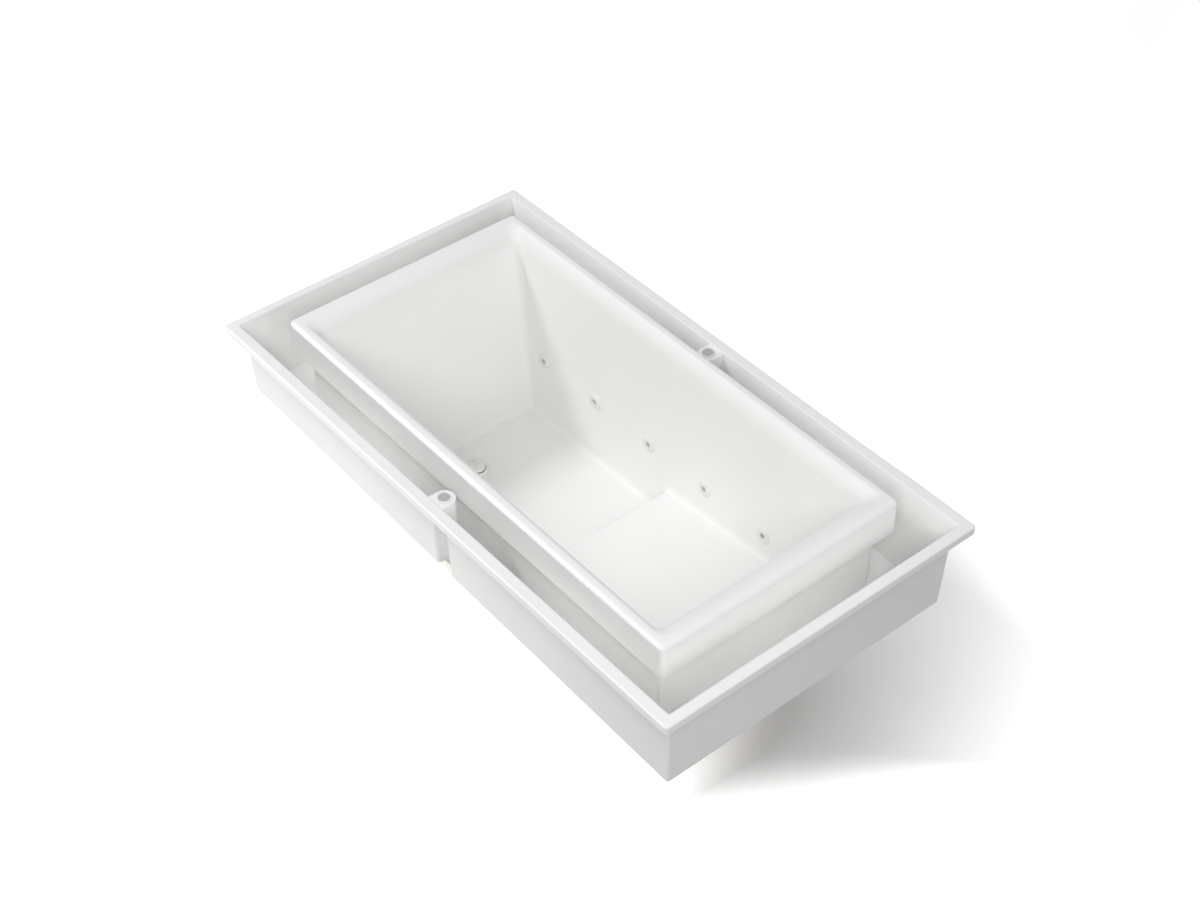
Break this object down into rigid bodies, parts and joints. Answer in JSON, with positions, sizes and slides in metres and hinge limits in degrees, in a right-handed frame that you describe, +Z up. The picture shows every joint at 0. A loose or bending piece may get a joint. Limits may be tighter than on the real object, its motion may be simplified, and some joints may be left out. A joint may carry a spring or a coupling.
{
  "type": "overflow bathtub",
  "caption": "Drop-in overflow bathtub: deep basin with bench and wall jets inside a water-catching trough with a deck flange, press buttons, drain and recirculating pump below.",
  "frame": {"origin": "on the floor below the middle of the bath", "axes": "+X along the length to the bench end, +Y to the far long side, +Z up"},
  "size_m": [1.911, 1.038, 0.711],
  "materials": {
    "white_acrylic": "gloss vacuum-formed acrylic",
    "white_fitting": "gloss moulded",
    "grey_button": "satin moulded",
    "drain_metal": "satin nickel",
    "pipe_plastic": "extruded pipe",
    "seal_rubber": "matte",
    "clear_sealant": "silicone bead",
    "pump_plastic": "glass-filled moulding",
    "motor_paint": "powder coat",
    "heater_steel": "drawn tube",
    "cradle_steel": "galvanised",
    "foot_steel": "zinc plated",
    "board_ply": "plywood",
    "box_plastic": "moulded case"
  },
  "bodies": {
    "bath": {"basin_shell": "white_acrylic", "overflow_trough": "white_acrylic", "rim_seal": "clear_sealant", "base_board": "board_ply", "pump_board": "board_ply", "cradle_rail_near": "cradle_steel", "cradle_rail_far": "cradle_steel", "cradle_crossbars": "cradle_steel", "bench_posts": "cradle_steel", "bench_bearers": "cradle_steel", "levelling_feet": "foot_steel", "foot_lock_nuts": "foot_steel", "drain_flange": "drain_metal", "drain_gasket": "seal_rubber", "drain_shoe": "pipe_plastic", "drain_tailpiece": "pipe_plastic", "jet_bodies": "pipe_plastic", "jet_gaskets": "seal_rubber", "jet_nuts": "pipe_plastic", "button_housings": "white_fitting", "button_nuts": "foot_steel", "switch_bodies": "pump_plastic", "button_spring_near": "seal_rubber", "button_spring_far": "seal_rubber", "suction_cover": "white_fitting", "suction_body": "pipe_plastic", "suction_pipe": "pipe_plastic", "pump_volute": "pump_plastic", "pump_motor": "motor_paint", "motor_fan_cover": "motor_paint", "discharge_pipe": "pipe_plastic", "heater_body": "heater_steel", "manifold_far": "pipe_plastic", "manifold_end": "pipe_plastic", "manifold_near": "pipe_plastic", "control_box": "box_plastic", "jet_ring_near_1": "white_fitting", "jet_ring_near_2": "white_fitting", "jet_ring_near_3": "white_fitting", "jet_ring_near_4": "white_fitting", "jet_ring_near_5": "white_fitting", "jet_ring_far_1": "white_fitting", "jet_ring_far_2": "white_fitting", "jet_ring_far_3": "white_fitting", "jet_ring_far_4": "white_fitting", "jet_ring_far_5": "white_fitting"},
    "button_near": {"button_cap_near": "grey_button"},
    "button_far": {"button_cap_far": "grey_button"},
    "stopper": {"drain_stopper": "drain_metal"},
    "pump_rotor": {"pump_rotor": "pump_plastic"},
    "nozzle_near_1": {"jet_nozzle_near_1": "white_fitting"},
    "nozzle_near_2": {"jet_nozzle_near_2": "white_fitting"},
    "nozzle_near_3": {"jet_nozzle_near_3": "white_fitting"},
    "nozzle_near_4": {"jet_nozzle_near_4": "white_fitting"},
    "nozzle_near_5": {"jet_nozzle_near_5": "white_fitting"},
    "nozzle_far_1": {"jet_nozzle_far_1": "white_fitting"},
    "nozzle_far_2": {"jet_nozzle_far_2": "white_fitting"},
    "nozzle_far_3": {"jet_nozzle_far_3": "white_fitting"},
    "nozzle_far_4": {"jet_nozzle_far_4": "white_fitting"},
    "nozzle_far_5": {"jet_nozzle_far_5": "white_fitting"}
  },
  "joints": [
    {"name": "button_near_press", "type": "slide", "parent": "bath", "child": "button_near", "axis": [0, 0, -1], "range_m": [0, 0.003], "stiffness_N_per_m": 500, "springref_m": -0.002, "deforming": ["button_spring_near"]},
    {"name": "button_far_press", "type": "slide", "parent": "bath", "child": "button_far", "axis": [0, 0, -1], "range_m": [0, 0.003], "stiffness_N_per_m": 500, "springref_m": -0.002, "deforming": ["button_spring_far"]},
    {"name": "stopper_lift", "type": "slide", "parent": "bath", "child": "stopper", "axis": [-0.0192, 0, 0.9998], "range_m": [0, 0.01]},
    {"name": "pump_rotor_spin", "type": "hinge", "parent": "bath", "child": "pump_rotor", "pos_m": [0.6, 0, 0.18], "axis": [1, 0, 0], "continuous": true},
    {"name": "nozzle_near_1_tilt", "type": "hinge", "parent": "bath", "child": "nozzle_near_1", "pos_m": [-0.564, -0.32054, 0.33076], "axis": [1, 0, 0], "range_deg": [-12, 12]},
    {"name": "nozzle_near_2_tilt", "type": "hinge", "parent": "bath", "child": "nozzle_near_2", "pos_m": [-0.322, -0.32054, 0.33076], "axis": [1, 0, 0], "range_deg": [-12, 12]},
    {"name": "nozzle_near_3_tilt", "type": "hinge", "parent": "bath", "child": "nozzle_near_3", "pos_m": [-0.08, -0.32054, 0.33076], "axis": [1, 0, 0], "range_deg": [-12, 12]},
    {"name": "nozzle_near_4_tilt", "type": "hinge", "parent": "bath", "child": "nozzle_near_4", "pos_m": [0.162, -0.32054, 0.33076], "axis": [1, 0, 0], "range_deg": [-12, 12]},
    {"name": "nozzle_near_5_tilt", "type": "hinge", "parent": "bath", "child": "nozzle_near_5", "pos_m": [0.404, -0.32054, 0.33076], "axis": [1, 0, 0], "range_deg": [-12, 12]},
    {"name": "nozzle_far_1_tilt", "type": "hinge", "parent": "bath", "child": "nozzle_far_1", "pos_m": [-0.564, 0.32054, 0.33076], "axis": [1, 0, 0], "range_deg": [-12, 12]},
    {"name": "nozzle_far_2_tilt", "type": "hinge", "parent": "bath", "child": "nozzle_far_2", "pos_m": [-0.322, 0.32054, 0.33076], "axis": [1, 0, 0], "range_deg": [-12, 12]},
    {"name": "nozzle_far_3_tilt", "type": "hinge", "parent": "bath", "child": "nozzle_far_3", "pos_m": [-0.08, 0.32054, 0.33076], "axis": [1, 0, 0], "range_deg": [-12, 12]},
    {"name": "nozzle_far_4_tilt", "type": "hinge", "parent": "bath", "child": "nozzle_far_4", "pos_m": [0.162, 0.32054, 0.33076], "axis": [1, 0, 0], "range_deg": [-12, 12]},
    {"name": "nozzle_far_5_tilt", "type": "hinge", "parent": "bath", "child": "nozzle_far_5", "pos_m": [0.404, 0.32054, 0.33076], "axis": [1, 0, 0], "range_deg": [-12, 12]}
  ]
}
